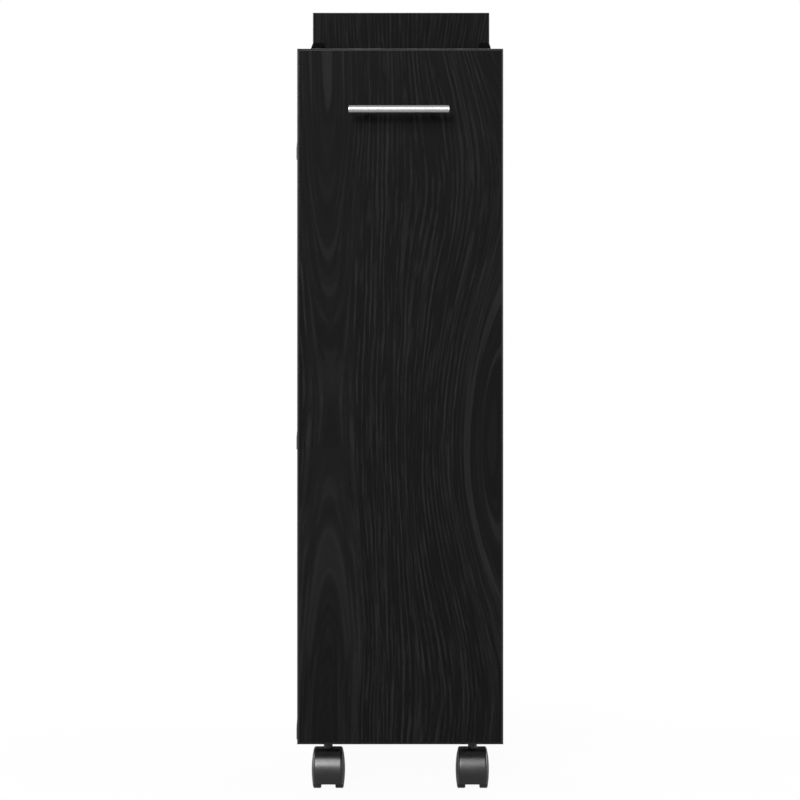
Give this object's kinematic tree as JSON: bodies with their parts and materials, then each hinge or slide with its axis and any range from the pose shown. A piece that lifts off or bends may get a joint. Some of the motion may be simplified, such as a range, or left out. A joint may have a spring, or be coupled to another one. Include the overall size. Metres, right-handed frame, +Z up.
{
  "type": "rolling pantry cart",
  "caption": "Slim gap cart on swivel casters: front panel with bar handle, taller back panel, open-sided shelves with swept guards.",
  "frame": {"origin": "on the floor under the middle of the footprint, handle included; x = 0 is the middle of the front panel", "axes": "+Z up; the front panel and its handle face -Y; +X is to the right as seen from the front"},
  "size_m": [0.2032, 0.481, 0.822],
  "materials": {
    "black_laminate": "black oak-grain laminate on board, satin",
    "handle_metal": "bright satin metal",
    "hood_plastic": "semi-gloss black moulded plastic",
    "wheel_plastic": "semi-gloss black moulded plastic",
    "cap_plastic": "matt black plastic",
    "zinc_steel": "zinc-plated steel",
    "black_steel": "black-plated steel, semi-gloss",
    "beech": "plain beech"
  },
  "bodies": {
    "cart": {"back_panel": "black_laminate", "back_panel_screw_caps": "cap_plastic", "back_panel_screws": "zinc_steel", "cam_bolts": "zinc_steel", "cam_discs": "zinc_steel", "caster_plate_screws": "zinc_steel", "front_left_caster_plate": "zinc_steel", "front_left_caster_ring": "zinc_steel", "front_left_caster_stem": "black_steel", "front_panel": "black_laminate", "front_right_caster_plate": "zinc_steel", "front_right_caster_ring": "zinc_steel", "front_right_caster_stem": "black_steel", "guard_screw_caps": "cap_plastic", "guard_screws": "zinc_steel", "handle_bar": "handle_metal", "handle_posts": "handle_metal", "handle_screws": "zinc_steel", "lower_left_guard": "black_laminate", "lower_right_guard": "black_laminate", "lower_shelf": "black_laminate", "middle_left_guard": "black_laminate", "middle_right_guard": "black_laminate", "middle_shelf": "black_laminate", "rear_left_caster_plate": "zinc_steel", "rear_left_caster_ring": "zinc_steel", "rear_left_caster_stem": "black_steel", "rear_right_caster_plate": "zinc_steel", "rear_right_caster_ring": "zinc_steel", "rear_right_caster_stem": "black_steel", "upper_left_guard": "black_laminate", "upper_right_guard": "black_laminate", "upper_shelf": "black_laminate", "wood_dowels": "beech"},
    "front_left_swivel": {"front_left_caster_hood": "hood_plastic", "front_left_caster_axle": "zinc_steel"},
    "front_left_left_roller": {"front_left_left_wheel": "wheel_plastic"},
    "front_left_right_roller": {"front_left_right_wheel": "wheel_plastic"},
    "front_right_swivel": {"front_right_caster_hood": "hood_plastic", "front_right_caster_axle": "zinc_steel"},
    "front_right_left_roller": {"front_right_left_wheel": "wheel_plastic"},
    "front_right_right_roller": {"front_right_right_wheel": "wheel_plastic"},
    "rear_left_swivel": {"rear_left_caster_hood": "hood_plastic", "rear_left_caster_axle": "zinc_steel"},
    "rear_left_left_roller": {"rear_left_left_wheel": "wheel_plastic"},
    "rear_left_right_roller": {"rear_left_right_wheel": "wheel_plastic"},
    "rear_right_swivel": {"rear_right_caster_hood": "hood_plastic", "rear_right_caster_axle": "zinc_steel"},
    "rear_right_left_roller": {"rear_right_left_wheel": "wheel_plastic"},
    "rear_right_right_roller": {"rear_right_right_wheel": "wheel_plastic"}
  },
  "joints": [
    {"name": "front_left_swivel_turn", "type": "hinge", "parent": "cart", "child": "front_left_swivel", "pos_m": [-0.071, -0.172, 0.03], "axis": [0, 0, 1], "continuous": true},
    {"name": "front_left_left_wheel_spin", "type": "hinge", "parent": "front_left_swivel", "child": "front_left_left_roller", "pos_m": [-0.082, -0.165, 0.0185], "axis": [1, 0, 0], "continuous": true},
    {"name": "front_left_right_wheel_spin", "type": "hinge", "parent": "front_left_swivel", "child": "front_left_right_roller", "pos_m": [-0.06, -0.165, 0.0185], "axis": [1, 0, 0], "continuous": true},
    {"name": "front_right_swivel_turn", "type": "hinge", "parent": "cart", "child": "front_right_swivel", "pos_m": [0.071, -0.172, 0.03], "axis": [0, 0, 1], "continuous": true},
    {"name": "front_right_left_wheel_spin", "type": "hinge", "parent": "front_right_swivel", "child": "front_right_left_roller", "pos_m": [0.06, -0.165, 0.0185], "axis": [1, 0, 0], "continuous": true},
    {"name": "front_right_right_wheel_spin", "type": "hinge", "parent": "front_right_swivel", "child": "front_right_right_roller", "pos_m": [0.082, -0.165, 0.0185], "axis": [1, 0, 0], "continuous": true},
    {"name": "rear_left_swivel_turn", "type": "hinge", "parent": "cart", "child": "rear_left_swivel", "pos_m": [-0.071, 0.202, 0.03], "axis": [0, 0, 1], "continuous": true},
    {"name": "rear_left_left_wheel_spin", "type": "hinge", "parent": "rear_left_swivel", "child": "rear_left_left_roller", "pos_m": [-0.082, 0.209, 0.0185], "axis": [1, 0, 0], "continuous": true},
    {"name": "rear_left_right_wheel_spin", "type": "hinge", "parent": "rear_left_swivel", "child": "rear_left_right_roller", "pos_m": [-0.06, 0.209, 0.0185], "axis": [1, 0, 0], "continuous": true},
    {"name": "rear_right_swivel_turn", "type": "hinge", "parent": "cart", "child": "rear_right_swivel", "pos_m": [0.071, 0.202, 0.03], "axis": [0, 0, 1], "continuous": true},
    {"name": "rear_right_left_wheel_spin", "type": "hinge", "parent": "rear_right_swivel", "child": "rear_right_left_roller", "pos_m": [0.06, 0.209, 0.0185], "axis": [1, 0, 0], "continuous": true},
    {"name": "rear_right_right_wheel_spin", "type": "hinge", "parent": "rear_right_swivel", "child": "rear_right_right_roller", "pos_m": [0.082, 0.209, 0.0185], "axis": [1, 0, 0], "continuous": true}
  ]
}
